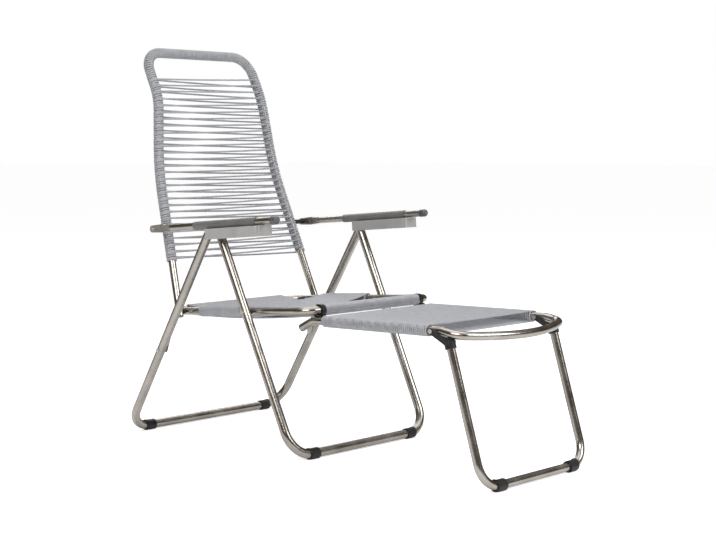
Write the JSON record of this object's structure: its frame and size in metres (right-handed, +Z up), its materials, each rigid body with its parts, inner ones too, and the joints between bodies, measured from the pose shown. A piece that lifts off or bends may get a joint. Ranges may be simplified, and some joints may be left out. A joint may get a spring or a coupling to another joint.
{
  "type": "chaise lounge",
  "caption": "Folding garden lounger with tubular metal frame, cord-wound seat, back and footrest, armrests with a recline rack and a hook-on footrest.",
  "frame": {"origin": "on the floor, under the middle of the overall box of the chair as it stands with its footrest out", "axes": "+X to the sitter's left, -Y the way the sitter faces, +Z up"},
  "size_m": [0.645, 1.3198, 1.1309],
  "materials": {
    "tube_metal": "satin steel tube",
    "wound_cord": "smooth extruded plastic cord, light grey",
    "pale_plastic": "satin moulded plastic, light grey",
    "grey_plastic": "satin moulded plastic, mid grey",
    "black_plastic": "satin moulded plastic, black"
  },
  "bodies": {
    "front_leg": {"front_leg": "tube_metal", "front_feet": "black_plastic", "apex_pins": "tube_metal", "apex_rollers": "black_plastic", "seat_pivot_bolts": "tube_metal", "seat_pivot_spacers": "black_plastic"},
    "rear_leg": {"rear_leg": "tube_metal", "rear_feet": "black_plastic", "link_rivets": "tube_metal"},
    "link_left": {"link_left": "tube_metal"},
    "link_right": {"link_right": "tube_metal"},
    "seat": {"seat_frame": "tube_metal", "seat_cross_cords": "wound_cord", "seat_long_cords": "wound_cord", "seat_side_wraps": "wound_cord", "seat_bar_wraps": "wound_cord"},
    "back_hinge": {"back_pivot_bolts": "tube_metal", "back_pivot_washers": "black_plastic"},
    "backrest": {"back_frame": "tube_metal", "back_tube_plugs": "black_plastic", "back_cord_wrap": "wound_cord", "back_front_cords": "wound_cord", "back_rear_cords": "wound_cord"},
    "arm_bolt_left": {"arm_bolt_left": "tube_metal"},
    "arm_bolt_right": {"arm_bolt_right": "tube_metal"},
    "arm_bush_left": {"arm_bush_left": "black_plastic"},
    "arm_bush_right": {"arm_bush_right": "black_plastic"},
    "arm_left": {"arm_tube_left": "tube_metal", "arm_sleeve_left": "pale_plastic", "arm_housing_left": "pale_plastic", "arm_rack_left": "black_plastic", "arm_cap_left": "grey_plastic"},
    "arm_right": {"arm_tube_right": "tube_metal", "arm_sleeve_right": "pale_plastic", "arm_housing_right": "pale_plastic", "arm_rack_right": "black_plastic", "arm_cap_right": "grey_plastic"},
    "footrest": {"rest_frame": "tube_metal", "rest_tube_plugs": "black_plastic", "rest_side_wraps": "wound_cord", "rest_upper_cords": "wound_cord", "rest_lower_cords": "wound_cord", "rest_clips": "black_plastic", "rest_rivets": "tube_metal"},
    "rest_leg": {"rest_leg": "tube_metal", "rest_feet": "black_plastic", "rest_brackets": "black_plastic"}
  },
  "joints": [
    {"name": "fold", "type": "hinge", "parent": "front_leg", "child": "rear_leg", "pos_m": [0, 0.23589, 0.602], "axis": [-1, 0, 0], "range_deg": [0, 46]},
    {"name": "seat_fold", "type": "hinge", "parent": "front_leg", "child": "seat", "pos_m": [0, 0.12909, 0.39], "axis": [-1, 0, 0], "range_deg": [0, 65.46]},
    {"name": "link_fold_left", "type": "hinge", "parent": "rear_leg", "child": "link_left", "pos_m": [0.29, 0.45395, 0.25905], "axis": [-1, 0, 0], "range_deg": [0, 108.81]},
    {"name": "link_fold_right", "type": "hinge", "parent": "rear_leg", "child": "link_right", "pos_m": [-0.29, 0.45395, 0.25905], "axis": [-1, 0, 0], "range_deg": [0, 108.81]},
    {"name": "back_fold", "type": "hinge", "parent": "seat", "child": "back_hinge", "pos_m": [0, 0.41033, 0.36935], "axis": [1, 0, 0], "range_deg": [0, 87.4]},
    {"name": "recline", "type": "hinge", "parent": "back_hinge", "child": "backrest", "pos_m": [0, 0.41033, 0.36935], "axis": [1, 0, 0], "range_deg": [-42, 0]},
    {"name": "arm_fold_left", "type": "hinge", "parent": "backrest", "child": "arm_bolt_left", "pos_m": [0.28, 0.49229, 0.60341], "axis": [-1, 0, 0], "range_deg": [0, 119.6]},
    {"name": "arm_level_left", "type": "hinge", "parent": "arm_bolt_left", "child": "arm_bush_left", "pos_m": [0.28, 0.49229, 0.60341], "axis": [1, 0, 0], "range_deg": [0, 27.3]},
    {"name": "arm_lift_left", "type": "hinge", "parent": "arm_bush_left", "child": "arm_left", "pos_m": [0.28, 0.49229, 0.60341], "axis": [1, 0, 0], "range_deg": [-35, 0]},
    {"name": "arm_fold_right", "type": "hinge", "parent": "backrest", "child": "arm_bolt_right", "pos_m": [-0.28, 0.49229, 0.60341], "axis": [-1, 0, 0], "range_deg": [0, 119.6]},
    {"name": "arm_level_right", "type": "hinge", "parent": "arm_bolt_right", "child": "arm_bush_right", "pos_m": [-0.28, 0.49229, 0.60341], "axis": [1, 0, 0], "range_deg": [0, 27.3]},
    {"name": "arm_lift_right", "type": "hinge", "parent": "arm_bush_right", "child": "arm_right", "pos_m": [-0.28, 0.49229, 0.60341], "axis": [1, 0, 0], "range_deg": [-35, 0]},
    {"name": "footrest_swing", "type": "hinge", "parent": "seat", "child": "footrest", "pos_m": [0, -0.07935, 0.40531], "axis": [1, 0, 0], "range_deg": [-100, 0]},
    {"name": "rest_leg_fold", "type": "hinge", "parent": "footrest", "child": "rest_leg", "pos_m": [0, -0.48835, 0.38616], "axis": [1, 0, 0], "range_deg": [0, 84]}
  ],
  "couplings": [
    {"joint": "seat_fold", "follows": "fold", "ratio": 1.423},
    {"joint": "link_fold_left", "follows": "fold", "ratio": 2.3654},
    {"joint": "link_fold_right", "follows": "fold", "ratio": 2.3654},
    {"joint": "back_fold", "follows": "fold", "ratio": 1.9},
    {"joint": "arm_fold_left", "follows": "fold", "ratio": 2.6},
    {"joint": "arm_fold_right", "follows": "fold", "ratio": 2.6},
    {"joint": "arm_level_left", "follows": "recline", "ratio": -0.65},
    {"joint": "arm_level_right", "follows": "recline", "ratio": -0.65}
  ]
}
